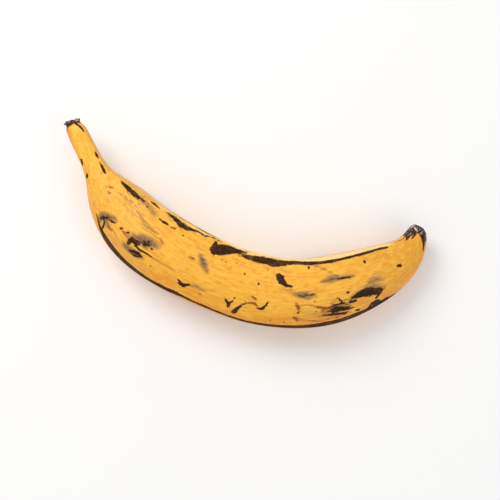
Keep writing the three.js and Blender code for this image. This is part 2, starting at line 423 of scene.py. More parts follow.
def skin_group(ring_count):
    """The tree that turns the centre line into the skin."""
    group = bpy.data.node_groups.new("plantain skin", "GeometryNodeTree")
    tree = SkinTree(group, {
        "Columns": SKIN_COLUMNS,
        "Ridge rise": RIDGE_RISE * MM,
        "Puckers": float(PUCKER_COUNT),
        "Pucker depth": PUCKER_DEPTH * MM,
        "Raggedness": RAGGEDNESS * MM,
        "Unevenness": WAVE_DEPTH * MM,
        "Shrivel": SHRIVEL_DEPTH * MM,
        "Seed": float(SEED),
    })
    columns = tree.input("Columns")
    grid = tree.node("GeometryNodeMeshGrid", {},
                     {"Vertices X": ring_count, "Vertices Y": columns + 1}, "Mesh")
    index = tree.node("GeometryNodeInputIndex")
    ring = (index / (columns + 1)).one("FLOOR")
    turn = (index - ring * (columns + 1)) / columns
    names = ("along", "half", "angular", "twist", "crease", "share", "sunk", "rim", "tip", "slant")
    of = {name: tree.named(name, ring) for name in names}
    place = skin_place(tree, ring, turn * math.tau + math.pi, of)
    placed = tree.node("GeometryNodeSetPosition", {}, {"Geometry": grid, "Position": place})
    reach_mm = (of["share"] - 1.0) * of["half"] / MM
    side = of["along"].rise(LENGTH / 2 - 1, LENGTH / 2 + 1) * 2 - 1
    run = (of["along"] - side * reach_mm + MARGIN) / (LENGTH + 2 * MARGIN)
    of_vertex = tree.node("GeometryNodeFieldOnDomain", {"data_type": "FLOAT_VECTOR", "domain": "POINT"},
                          {0: tree.vector(turn, run, 0.0)}, "Value")
    marked = tree.node("GeometryNodeStoreNamedAttribute", {"data_type": "FLOAT2", "domain": "CORNER"},
                       {"Geometry": placed, "Name": "skin", "Value": of_vertex})
    merged = tree.node("GeometryNodeMergeByDistance", {}, {"Geometry": marked, "Distance": SEAM_GAP * MM})
    smooth_shaded = tree.node("GeometryNodeSetShadeSmooth", {}, {"Geometry": merged})
    whole = tree.node("GeometryNodeRealizeInstances", {}, {"Geometry": smooth_shaded})
    peel = tree.input("Peel")
    finished = tree.node("GeometryNodeSetMaterial", {}, {"Geometry": whole, "Material": peel})
    tree.node("NodeGroupOutput", {}, {"Skin": finished})
    return group


def grown_skin(material):
    """The skin as a plain mesh, with its UV map of around and along."""
    table = spine_table()
    spine = spine_object(table)
    modifier = spine.modifiers.new("skin", "NODES")
    modifier.node_group = skin_group(len(table["along"]))
    peel = next(s for s in modifier.node_group.interface.items_tree if s.name == "Peel")
    modifier[peel.identifier] = material
    evaluated = spine.evaluated_get(bpy.context.evaluated_depsgraph_get())
    mesh = bpy.data.meshes.new_from_object(evaluated)
    mesh.name = "plantain_skin"
    bpy.data.objects.remove(spine)
    skin = bpy.data.objects.new("plantain_skin", mesh)
    scene.collection.objects.link(skin)
    return skin


# The marks of ripening, and some painted sheen, highlights and contact shadow, as strokes
# on the skin. Each has a name, how softly its edge fades in millimetres, its strength,
# and its points: along, around and half width.

BLACK_MARKS = (
    ("streak on the shoulder", 0.9, 1, ((55.5, 39, 0.4), (58, 38, 0.9), (61.5, 37, 1.2), (66, 36.5, 1.3),
     (70, 36.5, 1.1), (75, 36.5, 0.7), (81, 35.5, 0.4))),
    ("tail of the streak", 1.1, 0.66, ((70, 37, 0.8), (76, 36.5, 1.3), (82, 36, 1.1), (88.5, 34.5, 0.6))),
    ("grey fringe of the streak", 1.2, 0.55, ((62, 33, 0.6), (68, 32.5, 1.0), (74, 33.5, 0.8))),
    ("dash on the upper ridge", 0.5, 1, ((85.8, 43, 0.35), (89.5, 43.5, 0.6), (94.5, 44, 0.3))),
    ("streak below the upper ridge", 0.9, 1, ((101, 46, 0.4), (104.5, 45.5, 0.9), (109, 44.5, 1.3),
     (113, 43.5, 1.7), (118, 43.5, 1.5), (122, 45.5, 0.9), (127, 47.5, 0.6), (133.5, 48.5, 0.4))),
    ("line from it to the block", 0.5, 0.9, ((133, 49, 0.35), (138, 51.5, 0.4), (145, 52, 0.4))),
    ("black block", 0.9, 1, ((142.5, 36.5, 2.91), (146, 39.5, 3.47), (150, 43, 3.14), (155, 46, 2.13),
     (160, 48.5, 1.12), (165, 49, 0.45))),
    ("upright edge of the block", 0.7, 1, ((141.3, 46, 1.08), (141.2, 39, 1.44), (142.2, 31.5, 1.32))),
    ("foot of the block", 0.5, 1, ((143.2, 31, 0.78), (143.8, 27.5, 0.39))),
    ("frayed tail of the block", 1.4, 0.85, ((152, 46, 1.32), (158, 45.5, 1.08), (164, 43.5, 0.96),
     (169, 44, 0.6))),
    ("band after the block", 1.0, 1, ((160, 42.5, 0.41), (165, 43, 1.08), (172, 43.5, 1.62),
     (179, 43.5, 2.16), (186, 42.5, 2.29), (192, 41.5, 2.03), (199, 42.5, 1.35), (206, 44.5, 0.94))),
    ("line on the upper ridge", 0.6, 1, ((198, 44.5, 0.78), (206, 44.5, 1.23), (213, 43.5, 1.46),
     (219, 42.5, 1.34), (225, 41.5, 1.12), (231, 41, 1.34), (237, 40.7, 0.9), (243, 40.5, 1.12),
     (249, 40.5, 1.01), (255, 41, 1.46), (262, 41, 1.34), (268, 41.5, 1.12), (274, 41.7, 1.46),
     (278, 41, 1.01))),
    ("large blotch near the tip", 1.3, 1, ((238, -31, 0.69), (241, -30, 1.84), (244, -30, 2.76),
     (247.5, -30.5, 3.33), (250.5, -33, 3.33), (254, -38, 2.99), (257, -43, 2.42), (256, -50, 1.49),
     (254.3, -55, 0.92))),
    ("ragged top of the blotch", 0.9, 0.75, ((245, -23.5, 0.7), (249, -23, 0.8), (254, -30, 0.7))),
    ("patch under the blotch", 1.0, 1, ((250.5, -65, 1.1), (253.5, -66, 2.2), (254.5, -72, 2.86),
     (251.5, -80, 2.64))),
    ("wedge beside the patch", 0.8, 1, ((252, -80, 2.2), (257, -77, 1.8), (262, -74.5, 0.8))),
    ("first streak before the blotch", 0.9, 1, ((226.5, -49, 0.93), (229, -49, 1.06), (232, -50, 0.93),
     (235.1, -52, 1.06), (238.6, -53, 0.53))),
    ("second streak", 0.9, 0.95, ((225.5, -42, 0.73), (228, -41.5, 1.09), (230.5, -42, 1.09),
     (232.5, -45, 0.73))),
    ("third streak", 0.8, 0.95, ((223, -46, 0.49), (228, -45.5, 1.09), (233, -46, 1.09), (237, -47, 0.49))),
    ("slanting streak", 0.7, 1, ((230, -19, 0.34), (231.7, -28, 0.77), (233.5, -38, 0.59))),
    ("middle streak", 0.8, 0.95, ((225.5, -36, 0.32), (229, -34.5, 0.64), (232.5, -35, 0.72),
     (235.5, -42, 0.4))),
    ("blob before the streaks", 0.8, 0.85, ((226.6, -32, 0.72), (229, -33.5, 0.72))),
    ("blob under the streaks", 0.8, 0.8, ((229, -56.5, 0.6), (232.5, -57, 0.72))),
    ("lower blob", 0.8, 0.75, ((228, -66, 0.5), (230.5, -64, 0.6))),
    ("short streak above", 0.7, 0.85, ((233.3, -30, 0.4), (236, -30.5, 0.6), (239, -30.5, 0.5))),
    ("spot by the streaks", 0.7, 1, ((237.3, -38, 0.96), (240.3, -40, 0.96))),
    ("spot below them", 0.6, 0.95, ((240.2, -64, 0.6), (242, -65, 0.5))),
    ("spot near the tip", 0.9, 0.95, ((276.4, -11.5, 1.0), (278, -15, 1.3))),
    ("dot under the boot", 0.5, 1, ((201.9, 8.3, 0.8), (202.6, 7.6, 0.8))),
    ("thin streak below", 0.7, 1, ((220.5, -51, 0.4), (226.7, -54.5, 0.9), (233.3, -60, 0.9),
     (235, -59.5, 0.4))),
    ("blob after the streaks", 0.7, 1, ((240.2, -62.5, 0.6), (241.8, -66.5, 0.8))),
    ("dark under the patch", 0.9, 1, ((250.8, -66, 1.2), (248, -74, 1.3), (244, -78, 0.8))),
    ("tail of the wedge", 0.8, 1, ((256.6, -75, 1.3), (261, -79, 1.0), (266, -82, 0.5))),
    ("boot-shaped patch", 0.9, 0.84, ((194, 23.5, 2.18), (195.2, 19.5, 3.1), (196, 16, 2.76),
     (197.8, 12.3, 2.07), (200, 9.3, 1.38), (203, 7, 0.92))),
    ("core of the long smudge", 0.7, 0.9, ((231.5, 13.2, 0.4), (236, 11.2, 0.7), (240.2, 9, 0.9))),
    ("forked mark", 0.6, 1, ((161.4, -38, 0.68), (163.7, -44, 1.08), (164.2, -51, 0.68))),
    ("other arm of the fork", 0.5, 0.9, ((166, -35, 0.45), (164.2, -44, 0.9))),
    ("bean below the middle", 0.7, 1, ((168.5, -58, 1.56), (169.5, -50, 1.17), (171.5, -41, 0.78))),
    ("hook below the middle", 0.6, 1, ((182, -38, 0.52), (185, -38.5, 1.04), (187.5, -30, 0.78),
     (188.7, -22, 0.39))),
    ("thread from the bean", 0.6, 0.8, ((171.5, -38.5, 0.4), (173.5, -35, 0.6), (174.8, -33, 0.3))),
    ("comma in the lower face", 0.8, 1, ((130.2, -39.5, 0.6), (132.3, -44, 1.4), (134.6, -45, 1.6),
     (137.4, -38.5, 0.8))),
    ("crust on the lower ridge", 0.9, 0.95, ((124.5, -71, 0.8), (128.5, -68, 1.3), (133, -66, 0.8))),
    ("core of the grey cloud", 1.0, 0.95, ((93.6, -35, 0.69), (93.6, -28, 1.38), (94.4, -22, 1.38),
     (97.4, -24, 1.49), (99, -22, 0.8))),
    ("dark of the cloud", 1.9, 0.68, ((96.5, -19, 1.32), (100.5, -15, 2.53), (104.5, -12.5, 1.65))),
    ("freckle in the cloud", 0.7, 0.95, ((100.9, -13, 0.6), (102.2, -17, 0.7))),
    ("second freckle in the cloud", 0.7, 0.95, ((102.4, -7, 0.6), (103.8, -9.5, 0.6))),
    ("third freckle in the cloud", 0.6, 1, ((106.6, -15, 0.5), (107.8, -14.5, 0.5))),
    ("cluster under the cloud", 0.8, 1, ((96, -43, 0.6), (98.5, -38.5, 1.2), (101.5, -36, 1.4),
     (104, -37.5, 0.8))),
    ("lower rim of the cluster", 0.7, 0.95, ((97.5, -45.5, 0.5), (100, -44.5, 0.8), (103, -40, 0.7))),
    ("dark line of the crease", 0.6, 1, ((97.5, -28, 0.69), (101.5, -28.5, 0.8), (106, -27, 0.57),
     (110, -27, 0.34))),
    ("bend of the shoulder", 0.8, 1, ((67.5, -43, 0.6), (70.5, -47, 0.9), (72.2, -57, 0.8),
     (72.8, -70, 0.8))),
    ("dark of the arch", 1.4, 0.7, ((67, -52, 1.17), (68, -42, 1.69), (70, -34, 1.43))),
    ("dash on the arch", 0.6, 1, ((71.6, -33.5, 0.6), (74.4, -29, 0.95), (77.6, -25, 0.4))),
    ("dash beside the streaks", 0.7, 0.95, ((99.5, 31, 0.5), (103, 32, 0.9), (106.8, 32.5, 0.5))),
    ("stem dash", 0.5, 0.95, ((27.5, 40, 0.49), (29.5, 40, 0.89), (31.5, 39, 0.49))),
    ("longer stem dash", 0.5, 1, ((35, 33.5, 0.3), (38, 32, 0.83), (41, 28, 0.9), (43.3, 26, 0.6))),
    ("nick on the stem's outside", 0.6, 1, ((27.6, -57, 1.0), (29, -60, 1.3), (30.3, -66, 1.1))),
    ("second nick", 0.6, 1, ((37.4, -54, 0.7), (38.6, -57, 1.3), (39.4, -63, 1.2))),
    ("split under the collar", 0.5, 1, ((3, 21, 0.75), (4.5, 25.5, 0.85), (6.2, 31, 0.8), (8.7, 34, 0.6),
     (11.3, 36, 0.35))),
    ("dark side of the collar", 0.7, 1, ((1.9, 55, 0.8), (2.8, 74, 1.0), (4.4, 84, 0.9), (8, 77, 0.4))),
    ("line to the tip", 0.6, 1, ((285, 103, 0.3), (289, 105, 0.6), (292.5, 105, 0.8), (296, 107, 1.0),
     (300, 104, 1.1))),
    ("thin line to the tip", 0.5, 0.85, ((283, 51, 0.2), (286.5, 49, 0.4), (290.7, 53, 0.5),
     (294.5, 50.5, 0.6))),
    ("band down the tip", 0.8, 1, ((305, -14, 1.7), (304.5, -31, 2.5), (302.7, -44, 2.4), (300.4, -52, 1.7),
     (298.2, -56, 1.1), (296, -60, 0.5))),
    ("edge of the tip", 0.7, 1, ((307, -40, 0.9), (305.5, -66, 1.0), (303.5, -82, 0.8), (301, -88, 0.4))),
    ("first finger of the tip", 0.5, 1, ((298.5, 55, 0.9), (296.5, 52, 0.7), (294.8, 50, 0.4))),
    ("second finger of the tip", 0.5, 1, ((298.6, 37, 0.9), (296.6, 34.5, 0.6), (295, 33, 0.3))),
    ("third finger of the tip", 0.5, 1, ((302.5, 17, 0.8), (300.5, 18, 0.6), (298.7, 20, 0.3))),
    ("dash on the hollow side", 0.8, 1, ((118, 96, 0.4), (124, 94, 1.0), (131, 95, 0.5))),
    ("blotch on the hollow side", 1.4, 1, ((176, 104, 0.6), (182, 108, 2.0), (189, 110, 2.3),
     (195, 106, 0.9))),
    ("speck on the hollow side", 0.6, 1, ((226, 84, 0.6), (228, 85, 0.8))),
    ("streak on the outer side", 1.0, 1, ((96, -104, 0.4), (103, -108, 1.4), (112, -110, 1.2),
     (121, -108, 0.3))),
    ("blotch on the outer side", 1.5, 1, ((196, -112, 0.8), (203, -116, 2.4), (211, -118, 2.2),
     (219, -114, 0.6))),
    ("dash on the outer side", 0.7, 1, ((160, -101, 0.4), (165, -100, 0.9), (171, -102, 0.4))),
    ("patch underneath", 1.5, 0.95, ((130, 172, 0.8), (138, 176, 2.6), (147, 179, 2.2), (154, 178, 0.6))),
    ("patch underneath near the tip", 1.2, 0.95, ((238, 190, 0.6), (245, 186, 1.9), (252, 184, 0.8))),
    ("streak underneath the shoulder", 1.0, 0.95, ((66, 160, 0.4), (74, 163, 1.3), (84, 164, 0.4))),
)
LINE_MARKS = (
    ("band along the lower ridge", 0.8, 1, ((63, -60, 0.34), (67, -64, 0.8), (71, -69, 1.72),
     (75, -71, 2.64), (80, -71, 3.1), (87, -72, 3.1), (95, -73.5, 2.88), (105, -74, 2.53), (114, -75, 2.42),
     (121, -73.5, 2.53), (128, -70.5, 2.18), (135, -68.5, 1.26), (142, -69, 0.92))),
    # The dark lower ridge line, widened to hold painted contact shadow from a neighbouring fruit
    ("line along the lower ridge", 0.6, 1, ((138, -69.5, 0.88), (150, -69.5, 0.94), (162, -71, 0.94),
     (174, -73, 1.12), (185, -73.5, 1.25), (196, -74, 1.5), (207, -75.5, 1.88), (217, -76.5, 2.5),
     (228, -78, 3), (238, -79, 3.25), (248, -80.5, 3), (256, -82.5, 2.38), (263, -83.5, 1.38),
     (268, -83.5, 0.62))),
    ("edge of the hollow side", 0.5, 0.8, ((84, 66, 0.2), (94, 63, 0.3), (102, 58, 0.4), (112, 55.5, 0.45),
     (122, 54.5, 0.45), (132, 54, 0.5), (140, 56, 0.4), (146, 58, 0.3))),
    ("edge under the collar", 0.5, 1, ((2, -55, 0.78), (3.5, -70, 1.17), (6, -80, 0.65))),
)
GREY_MARKS = (
    ("grey cloud", 2.6, 1, ((92, -23, 1.6), (95, -17, 3.0), (99, -12, 4.2), (103.5, -9, 4.4),
     (107, -7, 2.8), (110, -5, 1.2))),
    ("haze after the shoulder's streak", 2.0, 0.8, ((64, 37, 0.6), (70, 37.5, 1.3), (76, 37, 1.9),
     (83, 36, 2), (89, 35.5, 1.6), (95, 33.5, 1.1), (101, 32, 0.6))),
    ("haze beside it", 2.0, 0.45, ((70, 13, 0.8), (76, 13, 1.3), (82, 15, 1.5), (90, 20, 1))),
    ("thumb-shaped smudge", 2.0, 1, ((136.3, 17, 1.76), (138.8, 11, 2.64), (141, 6, 2.64), (143, 1, 1.98),
     (144.5, -3, 0.99))),
    ("smudge in the middle", 2.0, 1, ((204.5, -4, 1.35), (208, -7, 2.7), (213, -8, 2.97), (217, -7, 1.62))),
    ("smear to it", 2.0, 0.7, ((197, 5, 0.65), (202.6, -1, 1.17), (208, -5, 1.17))),
    ("smudge near the tip", 1.8, 1, ((223, 13, 0.96), (227.5, 13.5, 2.16), (231.5, 14, 2.16),
     (236, 12, 1.68), (243, 9.5, 0.96))),
    ("faint smudge near the tip", 2.8, 0.85, ((249, -17, 1.1), (253, -14, 2.86), (257, -13.5, 2.86),
     (260, -18, 1.32))),
    ("veil round the blotch", 2.6, 1, ((239, -27, 1.1), (244, -23, 1.76), (250, -22, 2.09),
     (256, -29, 2.09), (259.5, -40, 1.76))),
    ("arch on the shoulder", 1.7, 1, ((68, -62, 1.5), (66.6, -52, 2.38), (67.2, -42, 3.12),
     (69.3, -31, 2.75), (72.8, -23.5, 1.75), (78, -20, 0.75))),
    ("inside of the arch", 1.8, 0.9, ((70.5, -41, 1.44), (73, -44, 1.8), (76, -43, 1.08))),
    ("tail of the comma", 1.6, 1, ((138, -39, 1.04), (143, -36, 1.3), (148, -37, 0.78))),
    ("veil below the upper ridge", 2.0, 0.6, ((104, 42, 0.8), (112, 41, 1.2), (121, 43, 0.9))),
    ("shadow of the cluster", 1.8, 1, ((91.8, -40, 1.44), (95, -42, 1.92), (99, -40, 2.64),
     (104, -38, 1.44))),
    ("haze on the outer side", 4.0, 0.8, ((180, -104, 1.8), (190, -108, 3.0), (200, -112, 2.2))),
    ("haze on the hollow side", 3.0, 0.7, ((205, 92, 1.4), (214, 96, 2.4), (224, 94, 1.4))),
    ("haze underneath", 5.0, 0.8, ((100, 184, 2.0), (118, 186, 4.0), (136, 182, 3.0))),
)
BROWN_MARKS = (
    ("brown of the cluster", 2.2, 0.95, ((91.5, -43, 1.32), (96, -41, 2.86), (101, -40, 3.08),
     (105, -39, 1.54))),
    ("brown inside the arch", 1.8, 0.95, ((70.5, -38, 1.1), (74, -41, 1.98), (79, -40, 1.32))),
    ("thin smear on the shoulder", 1.0, 0.7, ((69, 21, 0.24), (76, 21.5, 0.56), (84, 21, 0.64),
     (92, 20, 0.4))),
    ("second thin smear", 1.0, 0.65, ((70, 9, 0.24), (80, 9.5, 0.56), (88, 8, 0.64), (95, 7, 0.32))),
    ("brown patch after them", 1.6, 0.95, ((93, 11, 0.88), (97, 11, 1.76), (102, 10, 1.32))),
    ("brown before the streaks", 2.0, 0.9, ((214, -50, 0.96), (221, -52, 1.92), (228, -55, 1.92))),
    ("brown over the streaks", 1.4, 0.9, ((225.5, -33, 0.7), (228, -26, 1.2), (230.5, -25, 1.0),
     (233.5, -33, 0.9))),
    ("edge of the stem", 0.6, 0.9, ((5, 82, 0.5), (9, 77, 0.5), (14.7, 69, 0.45), (20.5, 72, 0.5),
     (26.2, 74, 0.5), (32.7, 68, 0.4), (39, 57, 0.3))),
    ("brown trail behind the arch", 1.8, 0.75, ((78, -42, 0.7), (83, -40.5, 1.3), (88, -40, 1.3),
     (92, -43, 1.2))),
    ("crease down the front", 0.7, 1, ((104, -27.5, 0.68), (109.6, -27, 0.81), (114, -27.5, 0.74),
     (119, -27.5, 0.54), (126, -28, 0.41))),
    ("crack under the ridge line", 0.5, 1, ((219.5, 37.5, 0.61), (223, 34.5, 0.81), (226.3, 30.5, 0.81),
     (229.4, 25, 0.81), (232.5, 18, 0.7))),
    ("streaks behind the shoulder", 2.6, 0.9, ((84, 20, 1.38), (92, 13, 2.07), (98, 10, 2.3),
     (104, 9, 1.61))),
    ("faint smear before them", 2.0, 0.75, ((62, 20, 0.96), (72, 22, 1.44), (82, 24, 1.44))),
    ("bruise round the streaks", 2.0, 1, ((222, -47, 2.12), (227, -44, 3.97), (233, -43, 3.7),
     (238, -40, 1.85))),
    ("small bruise above the front", 1.2, 0.6, ((74, 13, 0.5), (79.5, 15, 0.7))),
    ("rubbed underside of the shoulder", 5.0, 0.7, ((64, -165, 2.0), (76, -170, 4.0), (90, -172, 3.0))),
    ("rubbed middle of the underside", 5.0, 0.6, ((150, 178, 2.0), (170, 182, 4.0), (192, 180, 2.5))),
)
RUST_MARKS = (
    ("spots on the neck", 1.2, 0.6, ((53.2, 10, 1.0), (55, 12.5, 1.3), (56.6, 14, 0.8))),
    ("core of them", 0.6, 1, ((54.6, 11, 0.5), (55.9, 14, 0.5))),
    ("faint one beside them", 1.4, 0.5, ((51.8, 4, 0.7), (53.4, 4, 0.7))),
    ("lower spot on the neck", 1.1, 0.62, ((56.6, 1, 0.9), (58.6, 1.5, 1.1))),
    ("core of it", 0.6, 0.95, ((57.6, -0.5, 0.4), (58.2, 3, 0.5))),
    ("orange spot", 1.4, 0.55, ((130.6, 7, 1.5), (132.9, 7, 1.5))),
    ("dash after them", 0.6, 1, ((109.6, 32, 0.48), (112.2, 34.5, 0.6))),
    ("reds under the arch", 0.8, 0.9, ((75, -43.5, 0.5), (77.3, -42.5, 0.8), (79.6, -42, 0.6))),
    ("red before the cloud's foot", 0.9, 0.9, ((107.5, 8, 0.5), (109.3, 6, 0.7), (111, 3.5, 0.5))),
    ("spots before the streaks", 0.7, 1, ((205.9, -23, 0.78), (207, -29, 1.17), (207.3, -35, 0.52))),
    ("rusty thread", 0.8, 0.75, ((208.6, -25, 0.4), (213, -25, 0.6), (216, -28, 0.6), (219.5, -33, 0.9),
     (222.5, -35, 0.6))),
    ("rust by the lower ridge", 0.9, 1, ((204.6, -50, 0.72), (205.8, -54, 1.2), (206.5, -59, 0.6))),
    ("dotted rust above the lower ridge", 0.8, 0.8, ((206, -57, 0.5), (211, -60, 0.5), (217, -62, 0.6),
     (224, -63.5, 0.6), (230, -65, 0.6), (237, -63, 0.4))),
    ("rust round the streaks", 1.6, 0.95, ((221, -40, 1.08), (227, -37, 1.44), (233, -35, 0.96))),
    ("rust left of the streaks", 1.0, 1, ((216.5, -30, 0.5), (220.5, -34.5, 1.1), (223, -37, 0.9))),
    ("rusty rows over the lower ridge", 0.8, 0.8, ((205.5, -53, 0.35), (209, -56, 0.49), (212.5, -59, 0.35),
     (219, -66, 0.49), (226, -72, 0.56), (232, -79, 0.35))),
    ("rust under the streaks", 1.4, 0.75, ((222, -53, 0.7), (229, -60, 1.0), (236, -58, 0.6))),
    ("thread to the hook", 0.7, 1, ((173.5, -34, 0.46), (177, -30.5, 0.92), (180, -30.5, 1.03),
     (182.2, -34, 0.57))),
    ("spot above it", 0.7, 0.95, ((177, -18, 0.65), (180.3, -22, 0.91))),
    ("spots by the cloud", 1.2, 0.6, ((83, -21, 0.6), (88, -24, 1.0), (92, -25, 0.7))),
    ("rust beside the cloud", 0.9, 0.8, ((108.2, 7, 0.5), (110, 5, 0.7), (112, 3, 0.4))),
    ("halo of the spot near the tip", 1.2, 0.55, ((275.6, -11, 1.2), (278.6, -15, 1.3))),
    ("flush behind the shoulder", 2.0, 0.35, ((92, 8, 0.9), (96, 8, 1.6), (100, 16, 1.4), (103, 18, 0.8))),
    ("flush beside the bean", 2.5, 0.3, ((172, -50, 1.2), (182, -46, 1.6), (192, -40, 1))),
    ("rust on the outer side", 0.8, 0.8, ((140, -98, 0.5), (146, -100, 0.9), (153, -99, 0.4))),
    ("rust on the hollow side", 0.8, 0.8, ((150, 92, 0.5), (157, 94, 0.8), (163, 93, 0.4))),
)
OLIVE_MARKS = (
    ("under the blotch", 1.6, 0.55, ((241.5, -46, 1.6), (246, -50, 3.0), (249.3, -58, 2.2))),
    ("before the streaks", 2.4, 0.8, ((208, -36, 1.6), (214, -42, 3.2), (220, -46, 2.4))),
    ("beside the lower band", 4.0, 0.62, ((75, -58, 1.6), (82, -54, 3.4), (90, -50, 4.2), (98, -54, 4.0),
     (110, -56, 2.4))),
    ("on the tip's face", 4.0, 0.4, ((284, 20, 2.0), (292, 15, 4.0), (298, 10, 3.0))),
    ("on the neck", 5.0, 0.3, ((52, 60, 2.0), (66, 70, 3.0), (80, 70, 2.0))),
)
# Pale strokes: partly painted sheen on the hollow side by the upper ridge, partly scuffed skin
PALE_SHEEN_MARKS = (
    ("pale strip along the upper ridge", 0.6, 1, ((84, 44.5, 0.2), (93, 46.3, 0.45), (100, 48, 0.6),
     (107.4, 49, 0.75), (116, 50, 0.8), (125, 50.5, 0.8), (133, 51, 0.8), (141, 54, 1.0), (150, 57, 1.6),
     (160, 55.5, 2.7), (172, 55.5, 3.2), (184, 54.5, 3.4), (196, 54, 3.5), (210, 54, 3.5), (225, 54, 3.5))),
)
# Painted highlights along the folds of the dry tip
WRINKLE_HIGHLIGHTS = (
    ("pale fold over the crown", 0.4, 1, ((306.2, 60, 0.4), (307.6, 56, 0.6), (308.6, 46, 0.5))),
    ("pale fold beside it", 0.4, 1, ((306.5, 34, 0.5), (305.8, 20, 0.6), (305.2, 9, 0.3))),
    ("short fold", 0.4, 0.85, ((304.6, 66, 0.25), (306, 58, 0.35))),
    ("fold on the hollow side", 0.4, 0.7, ((298.6, 75, 0.25), (301.2, 63, 0.4))),
    ("long fold", 0.4, 0.75, ((298.6, 45, 0.25), (300.2, 40, 0.4), (302, 36, 0.3))),
    ("fold behind the crown", 0.4, 0.8, ((303.5, 120, 0.3), (306, 130, 0.5), (307.5, 145, 0.3))),
    ("fold on the outer side", 0.4, 0.7, ((303.4, -120, 0.3), (305.8, -112, 0.5), (307.4, -118, 0.3))),
)

# The larger dots: along, around and radius

DOTS = (
    (179.8, 6, 0.9), (168.1, 17, 0.6), (185.1, 31, 0.4), (214.9, 36, 0.9), (236.9, -17, 1.0),
    (253.5, 26, 1.0), (215.1, -7, 0.7), (199.3, -62, 0.5), (191.1, -60, 0.5), (206.9, -41, 0.7),
    (150.4, 27, 0.35), (160.5, 30, 0.35), (157.6, 21, 0.3), (166.6, -29, 0.35), (173.3, -30, 0.35),
    (84.4, -23, 0.85), (85.3, -21, 0.7), (89.5, -20, 0.7), (90.3, -18, 0.75), (107.1, -15, 0.65),
    (166.2, -30, 0.6), (111.5, -43, 0.5), (119.5, 32, 0.5), (146, -47, 0.45), (153.3, 26, 0.3),
    (63, -60, 0.5), (57.4, -58, 0.4), (216.4, -6, 0.6), (216.8, -20, 0.45), (207.5, -38, 0.5),
    (217.3, -41, 0.4), (249.6, -43, 0.7), (140, 78, 0.6), (168, 88, 0.5), (232, 100, 0.6), (252, 92, 0.5),
    (88, 110, 0.6), (128, -118, 0.7), (150, -132, 0.6), (184, -128, 0.6), (232, -120, 0.7), (86, -150, 0.6),
    (214, 168, 0.6),
)

# Dark lines that follow a ridge: the ridge's number, the edge's softness, the
# strength, and the line's points: along and half width

RIDGE_LINES = (
    (0, 0.5, 0.7, ((93, 0.2), (101, 0.3))),
    (4, 0.9, 0.9, ((70, 0.3), (80, 1.3), (92, 0.6), (100, 0.3), (118, 0.4), (134, 1.2), (150, 0.3))),
    (4, 0.8, 0.8, ((172, 0.3), (188, 1.0), (200, 0.4), (226, 1.2), (240, 0.5), (262, 0.3))),
    (3, 0.9, 0.9, ((60, 0.3), (76, 1.4), (90, 0.8), (100, 0.4), (112, 0.3))),
    (3, 0.9, 0.8, ((142, 0.3), (158, 1.2), (172, 0.5), (200, 1.3), (214, 0.5), (240, 0.7), (248, 0.3))),
)

# Where the dry tip and the dried collar end, round the fruit: around and along

TIP_BORDER = (
    (-180, 299.5), (-110, 300.5), (-86, 301), (-60, 303.5), (-40, 304), (-15, 304.5), (5, 303.8),
    (17, 302.3), (27, 300), (36, 298.6), (45, 296.9), (60, 297.2), (80, 297.6), (110, 298.5), (180, 299.5),
)
COLLAR_BORDER = (
    (-180, 4.2), (-110, 5.2), (-75, 5.4), (-50, 4.2), (-10, 3.4), (35, 3.1), (80, 3.0), (120, 3.8),
    (180, 4.2),
)

MARK_KINDS = {
    "black": BLACK_MARKS,
    "line": LINE_MARKS,
    "grey": GREY_MARKS,
    "brown": BROWN_MARKS,
    "rust": RUST_MARKS,
    "olive": OLIVE_MARKS,
    "pale": PALE_SHEEN_MARKS,
    "wrinkle_highlight": WRINKLE_HIGHLIGHTS,
}

# The steps of a line on a ridge, the ridge's brown edge, where the hollow side begins
# and ends in degrees past the upper ridge, where along the fruit its pale colour, partly
# painted sheen and partly scuffing, begins and ends, where the painted shade beside the
# stem, a deeper yellow on the hollow side, ends, and the half width that the material
# reads in the middle of an end

RIDGE_LINE_PITCH = 3.0
RIDGE_EDGE_WIDTH = 0.9
HOLLOW_BEGINS, HOLLOW_ENDS = (0, 3), (20, 78)
PALE_SHEEN_BEGINS, PALE_SHEEN_ENDS = (125, 155), (275, 292)
STEM_SHADE_ENDS = (55, 100)
LEAST_HALF = 0.05


def wrapped(degrees):
    return (degrees + 180) % 360 - 180


def stroke_field(along, around, soft, strength, points):
    """How deep each place lies in a stroke: 1 inside it, 0 outside, fading at its edge."""
    depth = np.full(len(along), -1.0)
    for (a0, r0, w0), (a1, r1, w1) in zip(points, points[1:]):
        reach = max(w0, w1) + soft
        near = np.flatnonzero((along > min(a0, a1) - reach) & (along < max(a0, a1) + reach))
        if not len(near):
            continue
        local = np.radians(1) * half_at((a0 + a1) / 2)
        x, y = along[near] - a0, wrapped(around[near] - r0) * local
        dx, dy = a1 - a0, wrapped(r1 - r0) * local
        share = np.clip((x * dx + y * dy) / (dx * dx + dy * dy), 0, 1)
        gap = np.hypot(x - share * dx, y - share * dy)
        depth[near] = np.maximum(depth[near], (w0 + (w1 - w0) * share - gap) / soft)
    return strength * np.clip(0.5 + 0.5 * depth, 0, 1)


def ridge_stroke(ridge, points):
    """A line's points on a ridge, with one every few millimetres."""
    at = np.arange(points[0][0], points[-1][0] + 0.1, RIDGE_LINE_PITCH)
    half = np.interp(at, *zip(*points))
    around = ridge_angles()[ridge] + smooth("twist", at)
    return tuple(zip(at, around, half))


def skin_places(mesh):
    """Each vertex's length along the fruit and angle round it."""
    corners = np.empty(len(mesh.loops), np.int32)
    mesh.loops.foreach_get("vertex_index", corners)
    uv = np.empty(2 * len(mesh.loops), np.float32)
    mesh.attributes["skin"].data.foreach_get("vector", uv)
    places = np.zeros((len(mesh.vertices), 2))
    places[corners] = uv.reshape(-1, 2)
    return places[:, 1] * (LENGTH + 2 * MARGIN) - MARGIN, wrapped(places[:, 0] * 360 + 180)


